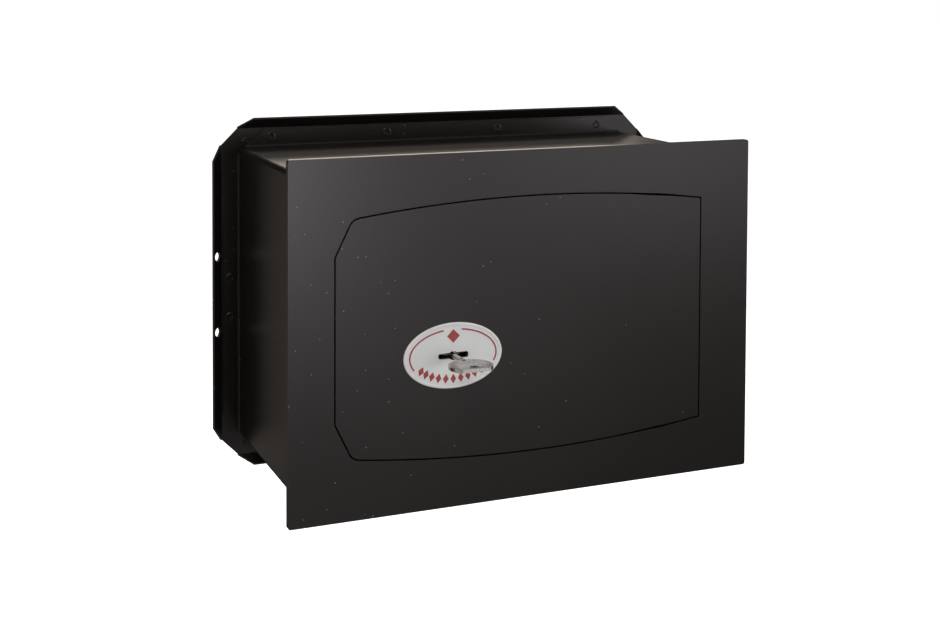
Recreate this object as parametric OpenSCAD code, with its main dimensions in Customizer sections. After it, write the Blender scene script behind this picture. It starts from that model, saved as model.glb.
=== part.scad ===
// Built-in wall safe with a double-bit key lock.
// X is width, +Y points into the wall, +Z is up.
// The origin is the centre of the back panel's rear face.

/* [Front plate] */
// Width of the front plate
plate_w = 390; // [380:1:396]
// Height of the front plate
plate_h = 270; // [262:1:276]
// Thickness of the front plate and of the door
plate_t = 5; // [4:0.5:5]
// Corner radius of the front plate
plate_corner_r = 2; // [1:0.5:8]

/* [Body] */
// Overall depth, front face to rear face
depth = 195; // [180:5:240]
// Width of the body between its outer faces
body_w = 367; // [362:1:370]
// Height of the body between its outer faces
body_h = 246; // [240:1:250]
// Sheet thickness of the body and the back panel
sheet_t = 2; // [1.5:0.5:2]
// Width of the back panel between its side folds
rear_w = 397; // [392:1:402]
// Height of the back panel between its top and bottom folds
rear_h = 278; // [272:1:284]
// Corner cut of the back panel
rear_cut = 13.8; // [10:0.2:18]
// Width of each folded lip
lip_len = 10.5; // [9.5:0.5:14]
// Forward fold of each lip from the flat, in degrees
lip_angle = 42; // [30:1:60]
// Anchor hole in the side lips, diameter
anchor_d = 7.6; // [5:0.2:8]
// Distance between the two anchor holes of a side lip
anchor_gap = 64; // [40:2:120]

/* [Door] */
// Left edge of the door, measured left from the centre
door_left = 159; // [157:0.5:160]
// Right edge of the door, measured right from the centre
door_right = 149.5; // [148:0.5:151]
// Height of the door at its crown, from the centre
door_crown = 98.8; // [98:0.2:99.4]
// Radius of the curved top and bottom edges
door_arc_r = 1100; // [1000:50:1400]
// Gap between the door and the front plate
door_gap = 1.2; // [1.1:0.1:1.6]

/* [Lock] */
// Key axis, left of the centre
key_left = 66.3; // [64:0.1:68]
// Key axis, below the centre
key_below = 18.7; // [16:0.1:20]
// Length of the horizontal key slot
slot_w = 24.8; // [24.2:0.1:25.4]
// Height of the key slot
slot_h = 5; // [3.2:0.1:5.2]
// Round middle of the keyhole, diameter
keyhole_d = 7.6; // [6.8:0.1:7.8]
// Diameter of the sliding bolts
bolt_d = 20; // [16:1:20]
// Height of each bolt above or below the centre
bolt_z = 38; // [30:1:44]
// Travel of the bolts
throw = 18; // [14:1:18]
// Number of levers
lever_count = 6; // [3:1:6]

/* [Label] */
// Width of the oval label
label_w = 80.2; // [70:0.2:90]
// Height of the oval label
label_h = 50.2; // [44:0.1:60]
// Thickness of the label
label_t = 0.6; // [0.4:0.1:1]

/* [Key] */
// Width of the key over both bits
key_bit_w = 23.4; // [22:0.2:23.6]
// Width of the key's bow
bow_w = 33.5; // [28:0.5:40]
// Length of the oval that the bow is cut from
bow_len = 32; // [26:1:36]
// How much of that oval the flat outer end cuts off
bow_trim = 4; // [0:0.5:6]
// Gap between the door and the bow
bow_gap = 18.5; // [14:0.5:24]

/* [Hidden] */
$fn = 64;

// Clearances
running = 0.05;      // radial, shaft in its bearing
easy = 0.3;          // radial, screw or stud in its hole
cut = 1;             // how far a cutting shape passes its target

// Colours
charcoal = "#3a3a3c";
cover_grey = "#4a4a4c";
bare_steel = "#9a9c9e";
zinc = "#b9bbbd";
brass = "#c2a15a";
label_grey = "#cfd2cf";
label_red = "#b0403a";
nickel = "#c9cacb";

// Door outline
corner_r = 9;                           // rounding between a cut corner and the arc
arc_mid_x = 3.5;                        // where the arcs crown
arc_mid_z = door_crown - door_arc_r;
cut_start_z = 61.5;                     // where the left edge turns into the cut corner
cut_slope = 64;                         // rise of the cut corner above the horizontal

// Rear flange
lip_taper = 1.2 * lip_len;              // how much each end of a lip slants in
lip_root = 0.3;                         // runs this far into the bend
anchor_out = lip_len / 2 + 0.2;         // from the fold to the anchor holes
tab_bend_r = 2.5;
tab_margin = 1;                         // from a tab's edge to the fold of the back panel
body_corner_r = 5;
tab_inset = 4;                          // from a tab's end to the corner of the body
tab_taper = 16;                         // how much each end of a tab slants in

// Depths behind the front face
hard_t = 3;
case_front = plate_t + hard_t;
case_wall = 2;
case_deep = 20;
cover_t = 2;
cover_front = case_front + case_deep;
lock_back = cover_front + cover_t;
works_deep = 36;                        // inside of the inner cover
inner_cover_t = 1.2;
bolt_deep = 18;                         // bolt axis

// Lock case outline
case_left = 104;
case_right = 28;
case_bottom = 37;
case_top = 31;
case_w = case_left - case_right;
case_h = case_bottom + case_top;
case_x = -(case_left + case_right) / 2;
case_z = (case_top - case_bottom) / 2;
case_corner_r = 3;
stud_d = 5;
stud_inset = 6;
stud_boss_d = 11;
hard_margin = 2;                        // hard plate inside the outline of the lock case

// Inner cover outline
cover_left = 145;
cover_right = 6;
cover_half_h = 66;
cover_corner_r = 2;
cover_mid_x = -(cover_left + cover_right) / 2;
cover_w = cover_left - cover_right;
cover_inset_x = 16;
cover_inset_z = 8;
cover_screw_d = 4;
pillar_d = 9;

// Hinge
hinge_x = door_right - 40;
hinge_deep = 8;
hinge_pin_d = 5;
hinge_relief = 0.35;                    // trimmed off door and frame where the open door crosses
hinge_relief_half_w = 16;
hinge_cross = hinge_deep - plate_t / 2; // from the axis to the middle of that crossing
knuckle_w = 16;
knuckle_top = 92;
knuckle_h = 14;
knuckle_deep = 10;
lug_bottom = 94.6;
lug_h = 14;
lug_deep = 11;

// Lock works
curtain_hub_d = 27;
curtain_rim_d = 31;
curtain_rim_t = 1.9;
curtain_gap = 0.1;
key_tip_d = 5;
bolt_plate_t = 3;
bolt_plate_deep = 13;
bolt_plate_back = bolt_plate_deep + bolt_plate_t;
lever_t = 1.4;
lever_pitch = 1.7;
lever_deep = bolt_plate_back + 1;
post_x = -44;
post_z = 17;
post_d = 7;
post_end_d = 4;
stump_d = 5;
stump_x = -66;
stump_z = 2;

// Carriage and guide
carriage_x = -117;
carriage_t = 3;
carriage_front = plate_t + 3.5;
carriage_deep = 21;
guide_x = -150;
guide_t = 4;
guide_half_h = 62;
bolt_tip_x = -154;
bolt_screw_d = 6;
bolt_screw_reach = 12;
keeper_x = -166;
rivet_x = -110.5;
rivet_z = 5;
rivet_d = 4;

// Print on the label
print_t = 0.12;
arc_line = 1.2;
arc_w = label_w - 8.6;
arc_h = label_h - 9;

// Moves to a depth behind the front face and extrudes an outline drawn in X and Z.
module plate(deep, t) {
    translate([0, -depth + deep + t, 0])
        rotate([90, 0, 0])
            linear_extrude(t)
                children();
}

// A round bar along Y that starts at a depth behind the front face.
module rod_y(x, z, d, deep, len) {
    plate(deep, len) translate([x, z]) circle(d = d);
}

// A round bar along X, from x to x + len.
module rod_x(x, deep, z, d, len) {
    translate([x, -depth + deep, z]) rotate([0, 90, 0]) cylinder(d = d, h = len);
}

// A block given by its lowest X, its depth behind the front face and its lowest Z.
module block(x, deep, z, size) {
    translate([x, -depth + deep, z]) cube(size);
}

module rounded_rect(w, h, r) {
    square([w - 2 * r, h], center = true);
    square([w, h - 2 * r], center = true);
    for (sx = [-1, 1], sz = [-1, 1])
        translate([sx * (w / 2 - r), sz * (h / 2 - r)]) circle(r);
}

module cut_rect(w, h, c) {
    polygon([[-w / 2, -h / 2 + c], [-w / 2 + c, -h / 2], [w / 2 - c, -h / 2], [w / 2, -h / 2 + c],
        [w / 2, h / 2 - c], [w / 2 - c, h / 2], [-w / 2 + c, h / 2], [-w / 2, h / 2 - c]]);
}

function arc(cx, cz, r, a0, a1, n) =
    [for (i = [0:n]) let (a = a0 + (a1 - a0) * i / n) [cx + r * cos(a), cz + r * sin(a)]];

function ellipse_arc(w, h, a0, a1, n) =
    [for (i = [0:n]) let (a = a0 + (a1 - a0) * i / n) [w / 2 * cos(a), h / 2 * sin(a)]];

// A shallow hump, 1 high at mid, that ends hinge_relief_half_w to each side.
function hump(x, mid) = max(0, 1 - pow((x - mid) / hinge_relief_half_w, 2));

// The long arc of the door outline, raised by relief round relief_x.
function crown_arc(r, a0, a1, relief, relief_x) =
    [for (i = [0:48])
        let (a = a0 + (a1 - a0) * i / 48,
            raised = r + relief * hump(arc_mid_x + r * cos(a), relief_x))
        [arc_mid_x + raised * cos(a), arc_mid_z + raised * sin(a)]];

// Upper half of the door outline, grown outwards by g, from the right edge to the left.
function door_half(g, relief, relief_x) =
    let (n = [-sin(cut_slope), cos(cut_slope)],
        on_cut = [-door_left, cut_start_z],
        // centre of the rounding: corner_r inside the cut and inside the arc
        base = on_cut - corner_r * n - [arc_mid_x, arc_mid_z],
        dir = [cos(cut_slope), sin(cut_slope)],
        reach = door_arc_r - corner_r,
        along = -base * dir + sqrt(pow(base * dir, 2) - base * base + reach * reach),
        round_mid = base + along * dir + [arc_mid_x, arc_mid_z],
        right = door_right + g,
        a_right = acos((right - arc_mid_x) / (door_arc_r + g)),
        a_left = atan2(round_mid[1] - arc_mid_z, round_mid[0] - arc_mid_x),
        edge_x = -door_left - g,
        edge_z = cut_start_z + g * tan((90 - cut_slope) / 2))
    concat(crown_arc(door_arc_r + g, a_right, a_left, relief, relief_x),
        arc(round_mid[0], round_mid[1], corner_r + g, a_left + 2, cut_slope + 90, 10),
        [[edge_x, edge_z]]);

module door_outline(g, relief, relief_x) {
    half = door_half(g, relief, relief_x);
    count = len(half);
    polygon(concat(half, [for (i = [count - 1:-1:0]) [half[i][0], -half[i][1]]]));
}

// The hole in the front plate, with room for the open door.
module door_opening() {
    door_outline(door_gap, hinge_relief, hinge_x + hinge_cross);
}

module at_key() {
    translate([-key_left, -key_below]) children();
}

module keyhole_shape() {
    corner_r = 1.6;
    at_key() {
        rounded_rect(slot_w, slot_h, corner_r);
        circle(d = keyhole_d);
    }
}

module at_case_corners() {
    for (sx = [-1, 1], sz = [-1, 1])
        translate([case_x + sx * (case_w / 2 - stud_inset), case_z + sz * (case_h / 2 - stud_inset)])
            children();
}

// ---- fixed in the wall ----

module front_frame() {
    color(charcoal)
    plate(0, plate_t)
        difference() {
            rounded_rect(plate_w, plate_h, plate_corner_r);
            door_opening();
        }
}

module door_stops() {
    bar_len = 160;
    bar_h = 16;
    color(charcoal)
    for (side = [-1, 1])
        difference() {
            block(arc_mid_x - bar_len / 2, plate_t, side > 0 ? knuckle_top : -knuckle_top - bar_h,
                [bar_len, hard_t, bar_h]);
            // relief so that the bar clears the back of the door
            plate(plate_t - cut, cut + easy) door_opening();
        }
}

// A tab folded out of the rear edge of one body wall. The fold runs along X,
// +Z leads away from the body, and the wall's outer face is at Z = 0.
module body_tab(fold_len, tab_w) {
    root = sheet_t / 2;
    bend_front = depth - 2 * sheet_t - tab_bend_r;
    intersection() {
        plate(bend_front, depth - sheet_t - bend_front)
            polygon([[-fold_len / 2, -root], [fold_len / 2, -root], [fold_len / 2, 0],
                [fold_len / 2 - tab_taper, tab_w], [-fold_len / 2 + tab_taper, tab_w], [-fold_len / 2, 0]]);
        rotate([90, 0, 90])
            linear_extrude(fold_len, center = true)
                polygon(concat([[-sheet_t, tab_w], [-sheet_t, -root], [-2 * sheet_t - tab_bend_r, -root]],
                    arc(-2 * sheet_t - tab_bend_r, tab_bend_r, tab_bend_r, -90, 0, 6),
                    [[-2 * sheet_t, tab_w]]));
    }
}

module body_shell() {
    side_tab = (rear_w - body_w) / 2 - tab_margin;
    end_tab = (rear_h - body_h) / 2 - tab_margin;
    color(charcoal) {
        plate(plate_t, depth - plate_t - sheet_t)
            difference() {
                rounded_rect(body_w, body_h, body_corner_r);
                rounded_rect(body_w - 2 * sheet_t, body_h - 2 * sheet_t, body_corner_r - sheet_t);
            }
        for (turn = [0, 180]) {
            rotate([0, turn, 0])
                translate([0, 0, body_h / 2]) body_tab(body_w - 2 * tab_inset, end_tab);
            rotate([0, turn + 90, 0])
                translate([0, 0, body_w / 2]) body_tab(body_h - 2 * tab_inset, side_tab);
        }
    }
}

// A lip in the XY plane: the fold runs along X at the origin, the lip leaves towards +Y
// and +Z is the inner side of the bend.
module lip(fold_len, holes) {
    rotate([lip_angle, 0, 0])
        translate([0, 0, -sheet_t])
            linear_extrude(sheet_t)
                difference() {
                    polygon([[-fold_len / 2, -lip_root], [fold_len / 2, -lip_root], [fold_len / 2, 0],
                        [fold_len / 2 - lip_taper, lip_len], [-fold_len / 2 + lip_taper, lip_len],
                        [-fold_len / 2, 0]]);
                    if (holes)
                        for (side = [-1, 1])
                            translate([side * anchor_gap / 2, anchor_out]) circle(d = anchor_d);
                }
    // outside of the bend
    rotate([90, 0, 90])
        linear_extrude(fold_len, center = true)
            polygon(concat([[-cut, 0], [0, 0]], arc(0, 0, sheet_t, -90 + lip_angle, -90, 6),
                [[-cut, -sheet_t]]));
}

module back_panel() {
    color(charcoal) {
        plate(depth - sheet_t, sheet_t) cut_rect(rear_w, rear_h, rear_cut);
        translate([0, -sheet_t, 0])
            rotate([90, 0, 0]) {
                for (side = [0, 180]) {
                    rotate([0, 0, side])
                        translate([0, rear_h / 2, 0])
                            lip(rear_w - 2 * rear_cut, false);
                    rotate([0, 0, side + 90])
                        translate([0, rear_w / 2, 0])
                            lip(rear_h - 2 * rear_cut, true);
                }
            }
    }
}

module keeper_angle() {
    hole_d = bolt_d + 2;
    wall_x = -body_w / 2 + sheet_t;
    color(charcoal)
    difference() {
        union() {
            block(keeper_x, plate_t, -guide_half_h,
                [guide_t, works_deep - plate_t, 2 * guide_half_h]);
            block(wall_x, works_deep - guide_t, -guide_half_h,
                [keeper_x - wall_x, guide_t, 2 * guide_half_h]);
        }
        for (side = [-1, 1])
            rod_x(keeper_x - cut, bolt_deep, side * bolt_z, hole_d, guide_t + 2 * cut);
    }
}

// The hinge pieces come in pairs, mirrored about the middle of the door.
module hinge_pair() {
    for (m = [0, 1]) mirror([0, 0, m]) children();
}

module at_hinge(z) {
    translate([hinge_x, -depth + hinge_deep, z]) children();
}

module hinge_lugs() {
    color(charcoal)
    hinge_pair()
        difference() {
            block(hinge_x - knuckle_w / 2, plate_t, lug_bottom, [knuckle_w, lug_deep, lug_h]);
            at_hinge(lug_bottom - cut) cylinder(d = hinge_pin_d, h = lug_h + 2 * cut);
        }
}

module hinge_pins() {
    pin_start = knuckle_top - knuckle_h + 1;
    color(zinc)
    hinge_pair()
        at_hinge(pin_start) cylinder(d = hinge_pin_d, h = lug_bottom + lug_h - pin_start);
}

// ---- swings with the door ----

module door_panel() {
    color(charcoal)
    plate(0, plate_t)
        difference() {
            door_outline(0, -hinge_relief, hinge_x - hinge_cross);
            keyhole_shape();
        }
}

module hinge_knuckles() {
    color(charcoal)
    hinge_pair()
        difference() {
            block(hinge_x - knuckle_w / 2, plate_t, knuckle_top - knuckle_h,
                [knuckle_w, knuckle_deep, knuckle_h]);
            at_hinge(knuckle_top - knuckle_h - cut)
                cylinder(d = hinge_pin_d + 2 * running, h = knuckle_h + 2 * cut);
        }
}

// A bar welded to the door that hooks behind the frame on the hinge side.
module hinge_dog() {
    bar_h = 120;
    bar_deep = 7;
    tail = 11;
    hook = 8.5;
    step = 0.6;
    color(bare_steel) {
        block(door_right - tail, plate_t, -bar_h / 2, [tail, bar_deep, bar_h]);
        block(door_right, plate_t + step, -bar_h / 2, [hook, bar_deep - step, bar_h]);
    }
}

module hard_plate() {
    color(bare_steel)
    plate(plate_t, hard_t)
        difference() {
            translate([case_x, case_z])
                square([case_w - 2 * hard_margin, case_h - 2 * hard_margin], center = true);
            keyhole_shape();
            at_case_corners() circle(d = stud_d + 2 * easy);
        }
}

module case_outline() {
    translate([case_x, case_z]) rounded_rect(case_w, case_h, case_corner_r);
}

module lock_case() {
    tail_slot_h = 20;
    color(zinc)
    difference() {
        plate(case_front, case_deep) case_outline();
        plate(case_front + case_wall, case_deep)
            difference() {
                translate([case_x, case_z])
                    square([case_w - 2 * case_wall, case_h - 2 * case_wall], center = true);
                at_case_corners() circle(d = stud_boss_d);
            }
        plate(case_front - cut, case_wall + 2 * cut)
            at_key() circle(d = curtain_hub_d + 2 * running);
        plate(case_front - cut, case_deep + 2 * cut)
            at_case_corners() circle(d = stud_d + 2 * easy);
        block(-case_left - cut, bolt_plate_deep - easy, -tail_slot_h / 2,
            [case_wall + 2 * cut, bolt_plate_t + 2 * easy, tail_slot_h]);
    }
}

module lock_cover() {
    color(zinc)
    plate(cover_front, cover_t)
        difference() {
            case_outline();
            at_case_corners() circle(d = stud_d + 2 * easy);
            at_key() circle(d = key_tip_d + 2 * running);
            translate([post_x, post_z]) circle(d = post_end_d);
        }
}

module lock_studs() {
    end_gap = 1;
    color(zinc)
    plate(plate_t, works_deep - plate_t - end_gap) at_case_corners() circle(d = stud_d);
}

module lock_nuts() {
    nut_t = 4;
    nut_w = 9.2;
    color(zinc)
    plate(lock_back, nut_t)
        at_case_corners()
            difference() {
                circle(d = nut_w, $fn = 6);
                circle(d = stud_d);
            }
}

module lever_post() {
    head = 0.6;
    color(zinc) {
        rod_y(post_x, post_z, post_d, case_front + case_wall, case_deep - case_wall);
        rod_y(post_x, post_z, post_end_d, cover_front, cover_t + head);
    }
}

module bolt_guide() {
    foot_w = 12;
    foot_t = 3;
    color(bare_steel)
    difference() {
        union() {
            block(guide_x, plate_t, -guide_half_h,
                [guide_t, works_deep - plate_t, 2 * guide_half_h]);
            block(guide_x + guide_t, plate_t, -guide_half_h, [foot_w, foot_t, 2 * guide_half_h]);
        }
        for (side = [-1, 1])
            rod_x(guide_x - cut, bolt_deep, side * bolt_z, bolt_d + 2 * running, guide_t + 2 * cut);
    }
}

module at_cover_corners() {
    for (sx = [-1, 1], sz = [-1, 1])
        translate([cover_mid_x + sx * (cover_w / 2 - cover_inset_x), 0,
            sz * (cover_half_h - cover_inset_z)])
            children();
}

// Folded sheet cover over the works, open on the side of the bolt guide.
module inner_cover() {
    color(cover_grey)
    difference() {
        plate(plate_t, works_deep + inner_cover_t - plate_t)
            translate([cover_mid_x, 0]) rounded_rect(cover_w, 2 * cover_half_h, cover_corner_r);
        plate(plate_t - cut, works_deep - plate_t + cut)
            translate([cover_mid_x - 2 * inner_cover_t, 0])
                square([cover_w + 2 * inner_cover_t, 2 * (cover_half_h - inner_cover_t)], center = true);
        at_cover_corners()
            plate(works_deep - cut, 2 * cut + inner_cover_t) circle(d = cover_screw_d + 2 * easy);
    }
}

module cover_pillars() {
    color(zinc)
    at_cover_corners()
        plate(plate_t, works_deep - plate_t)
            difference() {
                circle(d = pillar_d);
                circle(d = cover_screw_d);
            }
}

module cover_screws() {
    shank = 12;
    head_d = 7.5;
    head_t = 2.4;
    slot = [5, 1];
    color(zinc)
    at_cover_corners() {
        plate(works_deep + inner_cover_t - shank, shank) circle(d = cover_screw_d);
        plate(works_deep + inner_cover_t, head_t)
            difference() {
                circle(d = head_d);
                square(slot, center = true);
            }
    }
}

module keyhole_label() {
    color(label_grey)
    plate(-label_t, label_t)
        difference() {
            at_key() polygon(ellipse_arc(label_w, label_h, 0, 357, 119));
            keyhole_shape();
        }
}

module border_arc(a0, a1) {
    polygon(concat(ellipse_arc(arc_w, arc_h, a0, a1, 20),
        ellipse_arc(arc_w - 2 * arc_line, arc_h - 2 * arc_line, a1, a0, 20)));
}

module diamond(half_w, half_h) {
    polygon([[-half_w, 0], [0, -half_h], [half_w, 0], [0, half_h]]);
}

// Printed border arcs and a plain row of diamonds.
module label_print() {
    pips = 11;
    pip_start = 214;
    pip_end = 326;
    color(label_red)
    plate(-label_t - print_t, print_t)
        at_key() {
            border_arc(103, 206);
            border_arc(-20, 79);
            for (a = [pip_start:(pip_end - pip_start) / (pips - 1):pip_end])
                translate([0.44 * arc_w * cos(a), 0.43 * arc_h * sin(a)])
                    rotate([0, 0, (a - 270) / 2])
                        diamond(2.3, 3.7);
            translate([0, 0.36 * arc_h]) diamond(5.2, 5.2);
        }
}

// ---- slides with the bolts ----

module bolt_carriage() {
    flange_half_h = 50;
    web_half_h = 30;
    web_w = 11;
    color(bare_steel)
    difference() {
        union() {
            block(carriage_x, carriage_front, -flange_half_h,
                [carriage_t, carriage_deep, 2 * flange_half_h]);
            block(carriage_x, bolt_plate_back, -web_half_h, [web_w, carriage_t, 2 * web_half_h]);
        }
        for (side = [-1, 1])
            rod_x(carriage_x - cut, bolt_deep, side * bolt_z, bolt_screw_d + 2 * easy,
                carriage_t + 2 * cut);
        at_tail_rivets() rod_y(0, 0, rivet_d, bolt_plate_back - cut, carriage_t + 2 * cut);
    }
}

module live_bolts() {
    chamfer = 1.5;
    drilled = bolt_screw_reach + 2;
    len = carriage_x - bolt_tip_x;
    color(zinc)
    for (side = [-1, 1])
        difference() {
            union() {
                rod_x(bolt_tip_x + chamfer, bolt_deep, side * bolt_z, bolt_d, len - chamfer);
                translate([bolt_tip_x, -depth + bolt_deep, side * bolt_z])
                    rotate([0, 90, 0]) cylinder(d1 = bolt_d - 2 * chamfer, d2 = bolt_d, h = chamfer);
            }
            rod_x(carriage_x - drilled, bolt_deep, side * bolt_z, bolt_screw_d, drilled + cut);
        }
}

module bolt_screws() {
    head_d = 10;
    head_t = 4;
    socket_d = 5.8;
    socket_deep = 2.5;
    head_x = carriage_x + carriage_t;
    color(zinc)
    for (side = [-1, 1]) {
        rod_x(carriage_x - bolt_screw_reach, bolt_deep, side * bolt_z, bolt_screw_d,
            bolt_screw_reach + carriage_t);
        difference() {
            rod_x(head_x, bolt_deep, side * bolt_z, head_d, head_t);
            translate([head_x + head_t - socket_deep, -depth + bolt_deep, side * bolt_z])
                rotate([0, 90, 0]) cylinder(d = socket_d, h = socket_deep + cut, $fn = 6);
        }
    }
}

module at_tail_rivets() {
    for (side = [-1, 1]) translate([rivet_x, 0, side * rivet_z]) children();
}

module lock_bolt() {
    half_h = 9.5;
    tail_x = carriage_x + carriage_t;
    end_x = -34;
    recess_left = -3.5;
    recess_w = 25;
    recess_top = 12.5;
    stump_gap = 0.5;
    color(bare_steel) {
        difference() {
            block(tail_x, bolt_plate_deep, -half_h, [end_x - tail_x, bolt_plate_t, 2 * half_h]);
            // room for the bits to sweep through
            block(-key_left + recess_left, bolt_plate_deep - cut, -key_below,
                [recess_w, bolt_plate_t + 2 * cut, recess_top]);
            at_tail_rivets() rod_y(0, 0, rivet_d, bolt_plate_deep - cut, bolt_plate_t + 2 * cut);
        }
        rod_y(stump_x, stump_z, stump_d, bolt_plate_back, cover_front - bolt_plate_back - stump_gap);
    }
}

module tail_rivets() {
    head_d = 7;
    head_t = 1.5;
    color(zinc)
    at_tail_rivets() {
        rod_y(0, 0, rivet_d, bolt_plate_deep, bolt_plate_t + carriage_t);
        rod_y(0, 0, head_d, bolt_plate_back + carriage_t, head_t);
    }
}

// ---- lever pack ----

module lever_outline() {
    belly_corner = [-97, -10];
    belly = [50, 22];
    neck_corner = [-75, 4];
    neck = [31, 18];
    boss_r = 7;
    sweep_r = 12.2;
    gate_h = 6;
    difference() {
        union() {
            translate(belly_corner) square(belly);
            translate(neck_corner) square(neck);
            translate([post_x, post_z]) circle(boss_r);
        }
        translate([post_x, post_z]) circle(d = post_d + 2 * running);
        at_key() circle(sweep_r);
        // gate between the two pockets that the stump passes through
        translate([stump_x - throw, stump_z - gate_h / 2]) square([throw, gate_h]);
        pocket(stump_x);
        pocket(stump_x - throw);
    }
}

module pocket(x) {
    corner = [-4, -6.8];
    size = [9, 10.1];
    translate([x, stump_z] + corner) square(size);
}

module lock_levers() {
    color(brass)
    for (i = [0:lever_count - 1])
        plate(lever_deep + i * lever_pitch, lever_t) lever_outline();
}

module lever_springs() {
    wire = 0.8;
    bend_r = 14;
    bend_x = -76;
    bend_z = 30;
    start = 190;
    sweep = 84;
    color(zinc)
    for (i = [0:lever_count - 1])
        translate([bend_x, -depth + lever_deep + i * lever_pitch + lever_t / 2, bend_z])
            rotate([90, 0, 0])
                rotate([0, 0, start])
                    rotate_extrude(angle = sweep)
                        translate([bend_r, 0]) circle(d = wire, $fn = 16);
}

// ---- turns with the key ----

module key_curtain() {
    hub_front = case_front + curtain_gap;
    rim_front = case_front + case_wall + curtain_gap;
    color(brass)
    difference() {
        union() {
            rod_y(-key_left, -key_below, curtain_hub_d, hub_front, rim_front - hub_front + curtain_gap);
            rod_y(-key_left, -key_below, curtain_rim_d, rim_front, curtain_rim_t);
        }
        plate(hub_front - cut, rim_front + curtain_rim_t - hub_front + 2 * cut) keyhole_shape();
    }
}

// Both bits in the XY plane, +Y into the lock: a straight stretch that drives the
// curtain and the lock bolt, then one step for each lever.
module key_bit_outline() {
    bit_front = case_front + 0.6;
    drive_back = lever_deep - 0.4;
    steps = [10.4, 8.8, 9.8, 8.2, 10.8, 9.2];
    for (side = [-1, 1]) {
        translate([side > 0 ? 0 : -key_bit_w / 2, bit_front])
            square([key_bit_w / 2, drive_back - bit_front]);
        for (i = [0:len(steps) - 1])
            translate([side > 0 ? 0 : -steps[i], drive_back + i * lever_pitch])
                square([steps[i], lever_pitch]);
    }
}

module bow_outline() {
    ring_d = 6;
    ring_inset = 5.5;
    outer_end = bow_gap + bow_len - bow_trim;
    difference() {
        intersection() {
            translate([0, -bow_gap - bow_len / 2]) polygon(ellipse_arc(bow_w, bow_len, 0, 355, 71));
            translate([-bow_w, -outer_end]) square([2 * bow_w, bow_len]);
        }
        translate([0, -outer_end + ring_inset]) circle(d = ring_d);
    }
}

module key() {
    neck_d = 4;
    neck_in = 3;            // runs this far into the bow and the barrel
    barrel_start = 12;
    barrel_d = 6.2;
    barrel_gap = 0.4;
    tip_start = 20;
    blade_t = 2.6;
    color(nickel)
    translate([-key_left, -depth, -key_below]) {
        rotate([-90, 0, 0]) {
            translate([0, 0, -bow_gap - neck_in])
                cylinder(d = neck_d, h = bow_gap + barrel_start + 2 * neck_in);
            translate([0, 0, barrel_start])
                cylinder(d = barrel_d, h = cover_front - barrel_start - barrel_gap);
            translate([0, 0, tip_start]) cylinder(d = key_tip_d, h = lock_back - tip_start);
        }
        translate([0, 0, -blade_t / 2])
            linear_extrude(blade_t) {
                key_bit_outline();
                bow_outline();
            }
    }
}

front_frame();
door_stops();
body_shell();
back_panel();
keeper_angle();
hinge_lugs();
hinge_pins();
door_panel();
hinge_knuckles();
hinge_dog();
hard_plate();
lock_case();
lock_cover();
lock_studs();
lock_nuts();
lever_post();
bolt_guide();
inner_cover();
cover_pillars();
cover_screws();
keyhole_label();
label_print();
bolt_carriage();
live_bolts();
bolt_screws();
lock_bolt();
tail_rivets();
lock_levers();
lever_springs();
key_curtain();
key();
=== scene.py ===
"""Looks of the built-in wall safe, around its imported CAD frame. Lengths are metres, or millimetres
where that is said."""

import math
import random

import bmesh
import bpy
from mathutils import Matrix, Vector


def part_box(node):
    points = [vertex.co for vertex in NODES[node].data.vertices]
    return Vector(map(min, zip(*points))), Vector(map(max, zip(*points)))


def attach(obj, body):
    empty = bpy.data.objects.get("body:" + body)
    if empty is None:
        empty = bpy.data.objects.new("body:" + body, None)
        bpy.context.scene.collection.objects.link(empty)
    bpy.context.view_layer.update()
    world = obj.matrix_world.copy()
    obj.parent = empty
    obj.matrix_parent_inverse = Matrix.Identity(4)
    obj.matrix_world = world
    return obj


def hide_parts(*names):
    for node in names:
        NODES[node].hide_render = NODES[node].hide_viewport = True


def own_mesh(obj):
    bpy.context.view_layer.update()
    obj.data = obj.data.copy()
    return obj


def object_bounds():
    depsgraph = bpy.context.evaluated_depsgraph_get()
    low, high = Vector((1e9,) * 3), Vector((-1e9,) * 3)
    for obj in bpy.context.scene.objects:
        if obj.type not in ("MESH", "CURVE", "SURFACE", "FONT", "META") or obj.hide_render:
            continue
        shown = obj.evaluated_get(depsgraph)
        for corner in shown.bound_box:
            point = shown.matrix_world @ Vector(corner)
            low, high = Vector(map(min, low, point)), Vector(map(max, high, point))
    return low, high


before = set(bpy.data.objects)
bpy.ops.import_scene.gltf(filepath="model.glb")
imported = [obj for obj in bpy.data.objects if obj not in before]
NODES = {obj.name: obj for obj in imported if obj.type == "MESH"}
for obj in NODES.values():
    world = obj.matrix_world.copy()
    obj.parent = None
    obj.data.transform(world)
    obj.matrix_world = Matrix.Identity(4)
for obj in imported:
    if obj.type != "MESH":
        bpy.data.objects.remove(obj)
CAD_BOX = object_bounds()

MM = 0.001

# Places that everything else is worked out from
FRONT_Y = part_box("front_frame")[0].y
LABEL_LOW, LABEL_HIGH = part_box("keyhole_label")
KEY_END_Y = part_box("key")[0].y
KEY_AXIS = Vector(((LABEL_LOW.x + LABEL_HIGH.x) / 2, FRONT_Y, (LABEL_LOW.z + LABEL_HIGH.z) / 2))

# Camera
CAMERA_AT = Vector((-0.4784, FRONT_Y - 1.0116, 0.2654))
CAMERA_YAW = 22.78
CAMERA_PITCH = 2.30
CAMERA_ROLL = 0.26
CAMERA_LENS = 55.83
CAMERA_SHIFT_DOWN = 0.2937

# Charcoal paint: its darkest and its lightest tone
CHARCOAL = ((0.0108, 0.0088, 0.0074), (0.0138, 0.0114, 0.0098))

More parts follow.
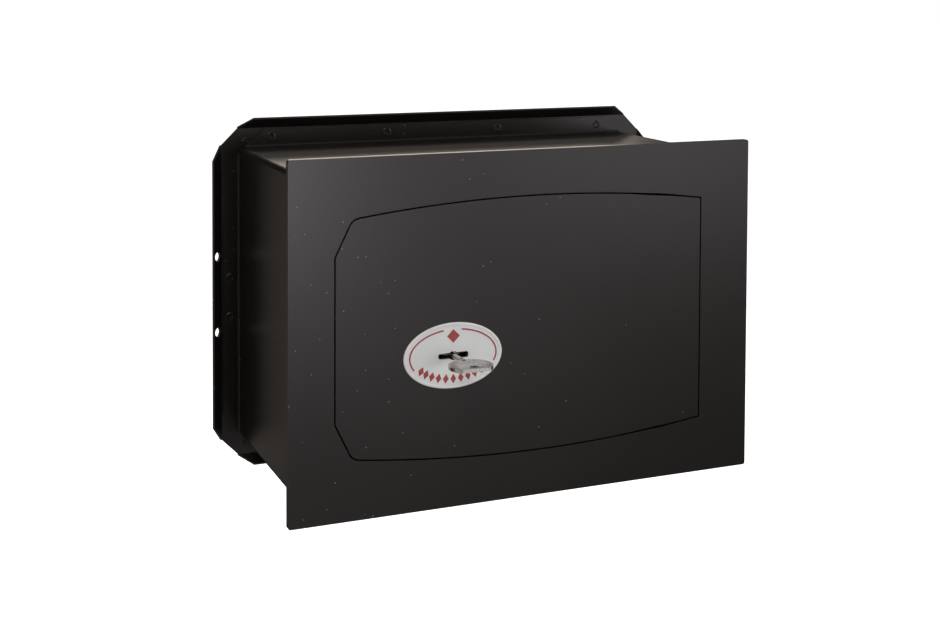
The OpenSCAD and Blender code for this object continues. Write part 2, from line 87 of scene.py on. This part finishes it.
# Lights: name, place, size in metres, watts, colour. All of them face LIT_POINT.
LIT_POINT = Vector((0, -0.1, 0))
AHEAD_Y = FRONT_Y - 1.8
DAY = (1.0, 0.97, 0.98)
WARM = (1.0, 0.88, 0.78)
LIGHTS = (
    ("front", (0.0, AHEAD_Y, 0.0), (0.6, 0.5), 5.5, DAY),
    ("front_low", (0.1, AHEAD_Y, -0.2), (0.9, 0.5), 1.1, DAY),
    ("front_strip", (0.7, AHEAD_Y, -0.52), (0.5, 0.14), 0.3, DAY),
    ("front_floor", (0.25, AHEAD_Y, -1.05), (0.7, 0.3), 0.5, DAY),
    ("front_right", (1.1, AHEAD_Y, 0.0), (0.7, 0.5), 2.5, DAY),
    ("right", (1.8, -1.0, 0.6), (0.8, 0.8), 10.0, DAY),
    ("high_left", (-0.9, FRONT_Y - 1.2, 1.5), (0.9, 0.6), 11.0, DAY),
    ("back_top_left", (-0.3, 1.7, 1.5), (1.2, 0.7), 4.0, WARM),
    ("back_top_right", (0.8, 1.7, 1.5), (1.2, 0.7), 5.0, WARM),
    ("back_left", (-0.75, 2.0, -0.5), (1.2, 0.9), 0.45, WARM),
    ("back_right", (0.5, 2.0, 0.5), (1.4, 0.7), 7.5, WARM),
)
WORLD_GLOW = (0.012, 0.4)           # along Y, and towards the sides, top and bottom
WORLD_TURN = (0.55, 0.95)           # the larger of |X| and |Z| where that change starts and ends

FLOOR_SIZE = 40
FLOOR_DROP = 0.35                   # below the safe, which is made to be built into a wall

# Pale specks in the paint
SPECK_CELLS = 170                   # per metre
SPECK_RADIUS = 0.08                 # of a cell
SPECK_COLOUR = (0.26, 0.26, 0.26)


# ---------------------------------------------------------------- camera, light and floor

def add_camera():
    """Low-perspective view from the front left, with the frame shifted down to the object."""
    data = bpy.data.cameras.new("camera")
    data.sensor_width = 36
    data.lens = CAMERA_LENS
    data.shift_y = -CAMERA_SHIFT_DOWN
    data.clip_start = 0.01
    camera = bpy.data.objects.new("camera", data)
    bpy.context.scene.collection.objects.link(camera)
    turn = (Matrix.Rotation(math.radians(-CAMERA_YAW), 4, "Z")
            @ Matrix.Rotation(math.radians(90 - CAMERA_PITCH), 4, "X")
            @ Matrix.Rotation(math.radians(CAMERA_ROLL), 4, "Z"))
    camera.matrix_world = Matrix.Translation(CAMERA_AT) @ turn
    bpy.context.scene.camera = camera


def add_lights():
    """Soft rectangular lights in front, at the right and behind, all turned to LIT_POINT."""
    for name, at, size, power, colour in LIGHTS:
        data = bpy.data.lights.new(name, "AREA")
        data.shape = "RECTANGLE"
        data.size, data.size_y = size
        data.energy = power
        data.color = colour
        light = bpy.data.objects.new(name, data)
        bpy.context.scene.collection.objects.link(light)
        light.location = at
        light.rotation_euler = (LIT_POINT - light.location).to_track_quat("-Z", "Y").to_euler()


def add_world():
    """White where it is seen directly. As light it is a dim room, darkest in front and behind."""
    world = bpy.data.worlds.new("studio")
    world.use_nodes = True
    bpy.context.scene.world = world
    tree = world.node_tree
    tree.nodes.clear()
    out = tree.nodes.new("ShaderNodeOutputWorld")
    mix = tree.nodes.new("ShaderNodeMixShader")
    seen = tree.nodes.new("ShaderNodeBackground")
    glow = tree.nodes.new("ShaderNodeBackground")
    path = tree.nodes.new("ShaderNodeLightPath")
    seen.inputs["Color"].default_value = (1, 1, 1, 1)
    glow.inputs["Color"].default_value = (1.0, 0.97, 0.93, 1)
    coordinate = tree.nodes.new("ShaderNodeTexCoord")
    split = tree.nodes.new("ShaderNodeSeparateXYZ")
    tree.links.new(coordinate.outputs["Generated"], split.inputs[0])
    largest = tree.nodes.new("ShaderNodeMath")
    largest.operation = "MAXIMUM"
    for slot, axis in enumerate("XZ"):
        size = tree.nodes.new("ShaderNodeMath")
        size.operation = "ABSOLUTE"
        tree.links.new(split.outputs[axis], size.inputs[0])
        tree.links.new(size.outputs[0], largest.inputs[slot])
    ramp = tree.nodes.new("ShaderNodeMapRange")
    ramp.interpolation_type = "SMOOTHSTEP"
    ramp.inputs["From Min"].default_value, ramp.inputs["From Max"].default_value = WORLD_TURN
    ramp.inputs["To Min"].default_value, ramp.inputs["To Max"].default_value = WORLD_GLOW
    tree.links.new(largest.outputs[0], ramp.inputs["Value"])
    tree.links.new(ramp.outputs["Result"], glow.inputs["Strength"])
    tree.links.new(path.outputs["Is Camera Ray"], mix.inputs["Fac"])
    tree.links.new(glow.outputs[0], mix.inputs[1])
    tree.links.new(seen.outputs[0], mix.inputs[2])
    tree.links.new(mix.outputs[0], out.inputs["Surface"])


def add_floor():
    """Plain pale floor, a little below the safe."""
    place = (0, 0, CAD_BOX[0][2] - FLOOR_DROP)
    bpy.ops.mesh.primitive_plane_add(size=FLOOR_SIZE, location=place)
    floor = bpy.context.object
    floor.name = "floor"
    material = bpy.data.materials.new("floor_pale")
    material.use_nodes = True
    shader = material.node_tree.nodes["Principled BSDF"]
    shader.inputs["Base Color"].default_value = (0.82, 0.82, 0.82, 1)
    shader.inputs["Roughness"].default_value = 0.9
    shader.inputs["Emission Color"].default_value = (1, 1, 1, 1)
    shader.inputs["Emission Strength"].default_value = 0.97
    floor.data.materials.append(material)
    floor.visible_diffuse = False
    floor.visible_glossy = False


# ---------------------------------------------------------------- material building blocks

class Nodes:
    """Short names for the node calls that every material uses."""

    def __init__(self, name):
        self.material = bpy.data.materials.new(name)
        self.material.use_nodes = True
        self.tree = self.material.node_tree
        self.shader = self.tree.nodes["Principled BSDF"]
        self.position = self.tree.nodes.new("ShaderNodeTexCoord").outputs["Object"]

    def add(self, kind, **inputs):
        node = self.tree.nodes.new("ShaderNode" + kind)
        for key, value in inputs.items():
            node.inputs[key.replace("_", " ")].default_value = value
        return node

    def link(self, source, target):
        self.tree.links.new(source, target)

    def stretched(self, scale):
        mapping = self.add("Mapping", Scale=scale)
        self.link(self.position, mapping.inputs["Vector"])
        return mapping.outputs[0]

    def noise(self, scale, detail=2.0, rough=0.5, where=None):
        node = self.add("TexNoise", Scale=scale, Detail=detail, Roughness=rough)
        self.link(where or self.position, node.inputs["Vector"])
        return node.outputs["Fac"]

    def remap(self, value, low, high, to_low, to_high):
        node = self.add("MapRange", From_Min=low, From_Max=high, To_Min=to_low, To_Max=to_high)
        self.link(value, node.inputs["Value"])
        return node.outputs["Result"]

    def math(self, operation, a, b):
        node = self.tree.nodes.new("ShaderNodeMath")
        node.operation = operation
        for slot, value in enumerate((a, b)):
            if isinstance(value, (int, float)):
                node.inputs[slot].default_value = value
            else:
                self.link(value, node.inputs[slot])
        return node.outputs[0]

    def blend(self, factor, first, second):
        node = self.tree.nodes.new("ShaderNodeMix")
        node.data_type = "RGBA"
        self.link(factor, node.inputs["Factor"])
        for socket, value in (("A", first), ("B", second)):
            target = [i for i in node.inputs if i.name == socket and i.type == "RGBA"][0]
            if isinstance(value, tuple):
                target.default_value = (*value, 1)
            else:
                self.link(value, target)
        return [o for o in node.outputs if o.type == "RGBA"][0]

    def bump(self, height, strength, distance, below=None):
        node = self.add("Bump", Strength=strength, Distance=distance)
        self.link(height, node.inputs["Height"])
        if below is not None:
            self.link(below, node.inputs["Normal"])
        return node.outputs[0]

    def finish(self, colour=None, rough=None, normal=None, **fixed):
        for socket, value in (("Base Color", colour), ("Roughness", rough), ("Normal", normal)):
            if value is None:
                continue
            if isinstance(value, tuple):
                self.shader.inputs[socket].default_value = (*value, 1)
            elif isinstance(value, (int, float)):
                self.shader.inputs[socket].default_value = value
            else:
                self.link(value, self.shader.inputs[socket])
        for key, value in fixed.items():
            self.shader.inputs[key.replace("_", " ")].default_value = value
        return self.material


def powder_coat(name, dark, light, specks=0.9, gloss=0.5):
    """Fine-textured powder coat, with pale specks that are densest on the left."""
    n = Nodes(name)
    cloud = n.noise(9, detail=4)
    grain = n.noise(1400, detail=2)
    pebble = n.noise(520, detail=1)
    colour = n.blend(n.remap(cloud, 0.3, 0.7, 0, 1), dark, light)
    colour = n.blend(n.remap(grain, 0.45, 0.75, 0, 0.10), colour, tuple(c * 2.2 for c in light))
    cells = n.add("TexVoronoi", Scale=SPECK_CELLS)
    n.link(n.position, cells.inputs["Vector"])
    dot = n.math("LESS_THAN", cells.outputs["Distance"], SPECK_RADIUS)
    pick = n.add("SeparateColor")
    n.link(cells.outputs["Color"], pick.inputs[0])
    place = n.add("SeparateXYZ")
    n.link(n.position, place.inputs[0])
    rarity = n.remap(place.outputs["X"], -0.2, 0.05, specks - 0.2, specks + 0.05)
    chosen = n.math("GREATER_THAN", pick.outputs[0], rarity)
    colour = n.blend(n.math("MULTIPLY", dot, chosen), colour, SPECK_COLOUR)
    rough = n.remap(pebble, 0.3, 0.7, 0.29, 0.31)
    normal = n.bump(grain, 0.015, 0.0001, n.bump(pebble, 0.006, 0.0002))
    return n.finish(colour, rough, normal, Specular_IOR_Level=gloss)


def brushed_metal(name, colour, rough, along, scratch=0.25):
    """Metal with fine lines along one axis and a slow change of tone."""
    n = Nodes(name)
    scale = [900.0, 900.0, 900.0]
    scale[along] = 18.0
    lines = n.noise(1, detail=3, where=n.stretched(scale))
    tone = n.noise(35, detail=3)
    darker = tuple(c * 0.78 for c in colour)
    mixed = n.blend(n.remap(tone, 0.3, 0.7, 0, 1), darker, colour)
    roughness = n.remap(lines, 0.3, 0.7, rough * 0.8, rough * 1.25)
    return n.finish(mixed, roughness, n.bump(lines, scratch, 0.00005), Metallic=1.0)


def label_material():
    """White enamel with a faint cool tone."""
    n = Nodes("label_face")
    tone = n.noise(60, detail=3)
    fine = n.noise(2500, detail=1)
    colour = n.blend(n.remap(tone, 0.3, 0.7, 0, 1), (0.83, 0.855, 0.84), (0.87, 0.89, 0.87))
    return n.finish(colour, n.remap(fine, 0.3, 0.7, 0.30, 0.38), n.bump(fine, 0.05, 0.00002))


def rim_highlight_material():
    """The same enamel where it is raised, a little whiter: a painted highlight for the light that
    the raised label rim and keyhole edge catch.
    """
    n = Nodes("label_rim")
    tone = n.noise(90, detail=2)
    colour = n.blend(n.remap(tone, 0.3, 0.7, 0, 1), (0.90, 0.90, 0.89), (0.93, 0.93, 0.92))
    return n.finish(colour, 0.3)


def ink_material():
    """Slightly uneven dark red print."""
    n = Nodes("label_ink")
    patch = n.noise(800, detail=2)
    colour = n.blend(n.remap(patch, 0.3, 0.7, 0, 1), (0.36, 0.045, 0.05), (0.45, 0.075, 0.075))
    return n.finish(colour, 0.45)


def nickel_material():
    """Warm grey plating with slow smears."""
    n = Nodes("key_nickel")
    smear = n.noise(110, detail=3)
    colour = n.blend(n.remap(smear, 0.3, 0.7, 0, 1), (0.56, 0.54, 0.52), (0.70, 0.685, 0.665))
    return n.finish(colour, n.remap(smear, 0.3, 0.7, 0.2, 0.3), Metallic=1.0)


def stamp_material():
    """Dark metal at the bottom of stamped marks."""
    n = Nodes("key_stamping")
    tone = n.noise(700, detail=2)
    colour = n.blend(n.remap(tone, 0.3, 0.7, 0, 1), (0.16, 0.155, 0.15), (0.24, 0.235, 0.225))
    return n.finish(colour, 0.35, Metallic=1.0)


# ---------------------------------------------------------------- CAD nodes keep their shape

def soften(node, width, segments=3, angle=35):
    """Rounds a CAD node's hard edges with modifiers; its mesh stays as it is."""
    thing = NODES[node]
    weld = thing.modifiers.new("weld", "WELD")
    weld.merge_threshold = 1e-6
    bevel = thing.modifiers.new("bevel", "BEVEL")
    bevel.width = width
    bevel.segments = segments
    bevel.limit_method = "ANGLE"
    bevel.angle_limit = math.radians(angle)
    bevel.harden_normals = False
    smooth = thing.modifiers.new("normals", "WEIGHTED_NORMAL")
    smooth.keep_sharp = True


def paint(node, material):
    """Gives a CAD node one material."""
    thing = NODES[node]
    thing.data.materials.clear()
    thing.data.materials.append(material)


def finish_cad_nodes():
    """Materials and edge radii, in millimetres, of every node but the label and the key."""
    charcoal = powder_coat("charcoal_paint", *CHARCOAL)
    cover = powder_coat("cover_paint", (0.02, 0.02, 0.021), (0.026, 0.026, 0.027), specks=0.95)
    steel = brushed_metal("bare_steel", (0.46, 0.47, 0.48), 0.38, along=2)
    # Near-black steel: partly the blackened finish of the hard plate and hinge pins, partly painted
    # shade that keeps the keyhole slot and the door gap dark.
    dark_steel_and_shade = brushed_metal("blackened_steel_and_painted_shade", (0.03, 0.03, 0.031), 0.65, along=2)
    # Near-black paint on the door stops is painted shade: it keeps the door gap in front of them
    # dark.
    gap_shade_paint = powder_coat("stop_gap_shade", (0.002, 0.0018, 0.0016), (0.003, 0.0027, 0.0025),
                         specks=1.1, gloss=0.08)
    zinc = brushed_metal("zinc_plate", (0.62, 0.63, 0.66), 0.26, along=0)
    brass = brushed_metal("brass", (0.70, 0.52, 0.24), 0.32, along=0)
    looks = {
        charcoal: {"front_frame": 0.35, "door_panel": 0.4, "body_shell": 0.4, "back_panel": 0.5,
                   "keeper_angle": 0.6, "hinge_lugs": 0.8, "hinge_knuckles": 0.8},
        cover: {"inner_cover": 0.35},
        # door stops: near-black painted shade for the door gap
        gap_shade_paint: {"door_stops": 0.4},
        # hard plate and hinge pins: blackened steel, partly painted shade in the keyhole slot and
        # door gap
        dark_steel_and_shade: {"hard_plate": 0.3, "hinge_pins": 0.3},
        steel: {"hinge_dog": 0.5, "bolt_guide": 0.5, "bolt_carriage": 0.3, "lock_bolt": 0.2},
        zinc: {"lock_case": 0.3, "lock_cover": 0.3, "lock_studs": 0.3, "lock_nuts": 0.3,
               "lever_post": 0.3, "cover_pillars": 0.3, "cover_screws": 0.3,
               "live_bolts": 0.5, "bolt_screws": 0.3, "tail_rivets": 0.3},
        brass: {"lock_levers": 0.12, "key_curtain": 0.3},
    }
    for material, nodes in looks.items():
        for node, edge in nodes.items():
            paint(node, material)
            soften(node, edge * MM)


def finish_label_and_key():
    """Materials of the nodes round the keyhole; the thin print keeps its sharp edges."""
    paint("keyhole_label", label_material())
    soften("keyhole_label", 0.2 * MM)
    paint("label_print", ink_material())
    paint("key", nickel_material())
    soften("key", 0.4 * MM)


# ---------------------------------------------------------------- building blocks for added pieces

def add_piece(name, mesh_maker, material, body):
    """A new smooth-shaded object from a bmesh, moving with one body."""
    mesh = bpy.data.meshes.new(name)
    mesh_maker.to_mesh(mesh)
    mesh_maker.free()
    mesh.materials.append(material)
    for face in mesh.polygons:
        face.use_smooth = True
    thing = bpy.data.objects.new(name, mesh)
    bpy.context.scene.collection.objects.link(thing)
    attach(thing, body)
    return thing


def sweep(maker, points, wide, high, up, closed=False, sides=8, swell=None):
    """Sweeps an oval section along points. wide lies across up, and swell scales each section."""
    count = len(points)
    rings = []
    for i, at in enumerate(points):
        before = points[i - 1] if i or closed else at
        after = points[(i + 1) % count] if i < count - 1 or closed else at
        along = (after - before).normalized()
        across = along.cross(up).normalized()
        grow = swell(i / (count - 1)) if swell else 1.0
        ring = []
        for k in range(sides):
            turn = math.tau * k / sides
            offset = across * wide * math.cos(turn) + up * high * math.sin(turn)
            ring.append(maker.verts.new(at + offset * grow))
        rings.append(ring)
    pairs = list(zip(rings, rings[1:])) + ([(rings[-1], rings[0])] if closed else [])
    for first, second in pairs:
        for k in range(sides):
            m = (k + 1) % sides
            maker.faces.new((first[k], first[m], second[m], second[k]))
    if not closed:
        maker.faces.new(rings[0][::-1])
        maker.faces.new(rings[-1])


def revolve(maker, at, axis, profile, sides=24):
    """Turns (distance along axis, radius) pairs, in millimetres, about the axis; flat ends."""
    side = axis.orthogonal().normalized()
    other = axis.cross(side)
    rings = []
    for along, radius in profile:
        ring = []
        for k in range(sides):
            turn = math.tau * k / sides
            offset = (side * math.cos(turn) + other * math.sin(turn)) * (radius * MM)
            ring.append(maker.verts.new(at + axis * (along * MM) + offset))
        rings.append(ring)
    for first, second in zip(rings, rings[1:]):
        for k in range(sides):
            m = (k + 1) % sides
            maker.faces.new((first[k], first[m], second[m], second[k]))
    maker.faces.new(rings[0][::-1])
    maker.faces.new(rings[-1])


def line(start, end, step):
    """Points along a straight line, about one step apart."""
    count = max(2, int((end - start).length / step) + 1)
    return [start.lerp(end, i / (count - 1)) for i in range(count)]


def oval(centre, half_wide, half_high, count):
    """Points round an ellipse that faces -Y."""
    turns = [math.tau * i / count for i in range(count)]
    return [centre + Vector((half_wide * math.cos(t), 0, half_high * math.sin(t))) for t in turns]


# ---------------------------------------------------------------- label and key details

def keyhole_outline(y):
    """The keyhole's edge: a slot with a round hole over its middle, anticlockwise."""
    half_wide, half_high, radius = 12.4 * MM, 2.5 * MM, 3.8 * MM
    corner = 1.6 * MM
    meet = math.asin(half_high / radius)
    flat = []
    for cx, cz, start in ((1, 1, 0), (-1, 1, 90), (-1, -1, 180), (1, -1, 270)):
        if start in (90, 270):
            first = meet if start == 90 else meet + math.pi
            flat += [(radius * math.cos(a), radius * math.sin(a))
                     for a in (first + (math.pi - 2 * meet) * i / 12 for i in range(13))]
        for i in range(4):
            a = math.radians(start + 30 * i)
            flat.append((cx * (half_wide - corner) + corner * math.cos(a),
                         cz * (half_high - corner) + corner * math.sin(a)))
    return [Vector((KEY_AXIS.x + x, y, KEY_AXIS.z + z)) for x, z in flat]


def add_label_details():
    """A raised rim round the label, and a pressed edge round the keyhole."""
    # The rim and the keyhole edge get the whiter enamel, a painted highlight.
    rim = rim_highlight_material()
    front = LABEL_LOW.y
    half_wide = (LABEL_HIGH.x - LABEL_LOW.x) / 2
    half_high = (LABEL_HIGH.z - LABEL_LOW.z) / 2
    centre = Vector((KEY_AXIS.x, front, KEY_AXIS.z))
    maker = bmesh.new()
    inset = 1.25 * MM
    sweep(maker, oval(centre, half_wide - inset, half_high - inset, 160), 1.1 * MM, 0.2 * MM,
          Vector((0, -1, 0)), closed=True)
    add_piece("label_rim", maker, rim, "door")
    maker = bmesh.new()
    sweep(maker, keyhole_outline(front), 0.3 * MM, 0.2 * MM, Vector((0, -1, 0)), closed=True)
    add_piece("keyhole_edge", maker, rim, "door")


def add_key_details():
    """Stamped marks, a border line and a ring-hole edge on both faces of the bow, and a collar."""
    stamping = stamp_material()
    nickel = nickel_material()
    satin = brushed_metal("key_satin", (0.6, 0.58, 0.56), 0.5, along=0, scratch=0.02)
    bow_start = KEY_AXIS.y - 18.5 * MM
    bow_middle = KEY_AXIS.y - 34.5 * MM
    bow_half_t = 1.3 * MM
    border_end = KEY_END_Y + 2.2 * MM
    ring_at = KEY_END_Y + 5.5 * MM
    # These are millimetres. Each row of marks has a half length and a half height.
    border_half_wide, border_half_long = 14.7, 14
    ring_radius = 3.6
    first_row, row_pitch = 6.6, 4.2
    rows = ((8.6, 1.5), (6.2, 1.1))
    marks = bmesh.new()
    raised = bmesh.new()
    chance = random.Random(4)
    for side in (-1, 1):
        face = KEY_AXIS.z + side * bow_half_t
        up = Vector((0, 0, side))

        def on_face(x, y):
            """A point on this face, x millimetres right of the key's axis and at y in metres."""
            return Vector((KEY_AXIS.x + x * MM, y, face))

        border = []
        for i in range(96):
            turn = math.tau * i / 96
            y = max(bow_middle + border_half_long * MM * math.sin(turn), border_end)
            border.append(on_face(border_half_wide * math.cos(turn), y))
        sweep(raised, border, 0.35 * MM, 0.12 * MM, up, closed=True, sides=6)
        ring = []
        for i in range(32):
            turn = math.tau * i / 32
            y = ring_at + ring_radius * MM * math.sin(turn)
            ring.append(on_face(ring_radius * math.cos(turn), y))
        sweep(raised, ring, 0.4 * MM, 0.14 * MM, up, closed=True, sides=6)
        for row, (half, tall) in enumerate(rows):
            y = bow_start - (first_row + row_pitch * row) * MM
            x = -half
            while x < half:
                lean = chance.uniform(-0.35, 0.35)
                height = tall * chance.choice((0.6, 1.0, 1.0))
                stroke = line(on_face(x - lean, y - height * MM),
                              on_face(x + lean, y + height * MM), 0.6 * MM)
                sweep(marks, stroke, 0.2 * MM, 0.05 * MM, up, sides=6)
                x += chance.choice((0.9, 1.2, 1.6))
    add_piece("key_marks", marks, stamping, "key")
    add_piece("key_borders", raised, satin, "key")
    collar = bmesh.new()
    out = Vector((0, -1, 0))
    profile = ((-1.9, 1.95), (-1.7, 2.25), (-1.5, 2.35), (-0.9, 2.35),
               (-0.6, 2.2), (0.0, 1.95), (0.7, 1.6), (1.2, 1.3))
    revolve(collar, Vector((KEY_AXIS.x, bow_start, KEY_AXIS.z)), out, profile)
    add_piece("key_collar", collar, nickel, "key")


def add_lever_springs(material):
    """Bent wires from the top of the lock case to the levers."""
    low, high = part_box("lever_springs")
    thick = 0.4 * MM
    centre_x, centre_z, radius = -76 * MM, 30 * MM, 14 * MM
    levers = 6
    maker = bmesh.new()
    for i in range(levers):
        y = low.y + thick + i * (high.y - low.y - 2 * thick) / (levers - 1)
        points = []
        for degrees in range(190, 275, 3):
            turn = math.radians(degrees)
            x = centre_x + radius * math.cos(turn)
            points.append(Vector((x, y, centre_z + radius * math.sin(turn))))
        sweep(maker, points, thick, thick, Vector((0, 1, 0)),
              swell=lambda t: min(1.0, 0.6 + 12 * min(t, 1 - t)))
    wires = add_piece("lever_wires", maker, material, "door")
    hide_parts("lever_springs")
    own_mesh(wires)


# ---------------------------------------------------------------- weld marks and beads

def add_spot_marks(material):
    """Shallow rings, placed in millimetres, that spot welding leaves on the four rear tabs."""
    face = -4 * MM
    out = Vector((0, -1, 0))
    profile = ((-0.2, 4.0), (0.04, 3.8), (0.4, 3.2), (0.45, 2.8),
               (0.2, 2.1), (0.1, 1.4), (0.12, 0.7), (0.13, 0.2))
    places = [(x, side * 131.2) for side in (-1, 1) for x in (-156, -52, 54, 155)]
    places += [(side * 191.5, z) for side in (-1, 1) for z in (-20, 13)]
    maker = bmesh.new()
    for x, z in places:
        revolve(maker, Vector((x * MM, face, z * MM)), out, profile)
    add_piece("spot_marks", maker, material, "root")


def bead(maker, start, end, up, radius=1.2):
    """One stitch of weld, in millimetres: a rippled half-round bead with tapered ends."""
    chance = random.Random(round(sum(start) + 3 * sum(end)))
    phase = chance.uniform(0, math.tau)
    length = (Vector(end) - Vector(start)).length

    def swell(t):
        ends = min(1.0, 0.35 + 9 * min(t, 1 - t))
        ripple = abs(math.sin(phase + math.pi * t * length / 1.7))
        return ends * (0.86 + 0.2 * ripple)

    points = line(Vector(start) * MM, Vector(end) * MM, 0.45 * MM)
    sweep(maker, points, radius * 1.25 * MM, radius * MM, Vector(up), sides=10, swell=swell)


def add_weld_beads(material):
    """Stitch welds, placed in millimetres, that hold the frame, stops, hinge pieces, keeper, guide
    and hinge dog, and a small tack in two corners of the back panel."""
    back = FRONT_Y / MM + 5
    fixed = bmesh.new()
    moving = bmesh.new()
    up = (0, 1, 0)
    for side in (-1, 1):
        for x in (-60, -10, 40):
            bead(fixed, (x, back, side * 108), (x + 24, back, side * 108), up)
        for x in (101.5, 117.5):
            bead(fixed, (x, back, side * 101.5), (x, back, side * 107.5), up, 1.0)
            bead(moving, (x, back, side * 79.5), (x, back, side * 90), up, 0.9)
        for x in (-150, -90, -30, 30, 90, 150):
            bead(fixed, (x - 11, back, side * 121), (x + 11, back, side * 121), up, 1.4)
        bead(fixed, (-181.5, -2, side * 127), (-177.5, -2, side * 131), up, 0.9)
        for z in (-86, -30, 30, 86):
            bead(fixed, (side * 181.5, back, z - 11), (side * 181.5, back, z + 11), up, 1.4)
    for z in (-50, -10, 30):
        bead(fixed, (-166, back, z), (-166, back, z + 20), up)
        bead(moving, (-150, back, z), (-150, back, z + 20), up)
        bead(moving, (138.5, back, z), (138.5, back, z + 20), up)
    add_piece("frame_welds", fixed, material, "root")
    add_piece("door_welds", moving, material, "door")


add_camera()
add_world()
add_floor()
add_lights()
finish_cad_nodes()
finish_label_and_key()
add_label_details()
add_key_details()
add_lever_springs(brushed_metal("spring_wire", (0.5, 0.51, 0.53), 0.3, along=1))
weld_paint = powder_coat("weld_paint", *CHARCOAL, specks=0.96)
add_spot_marks(weld_paint)
add_weld_beads(weld_paint)
bpy.context.scene.view_settings.view_transform = "Standard"
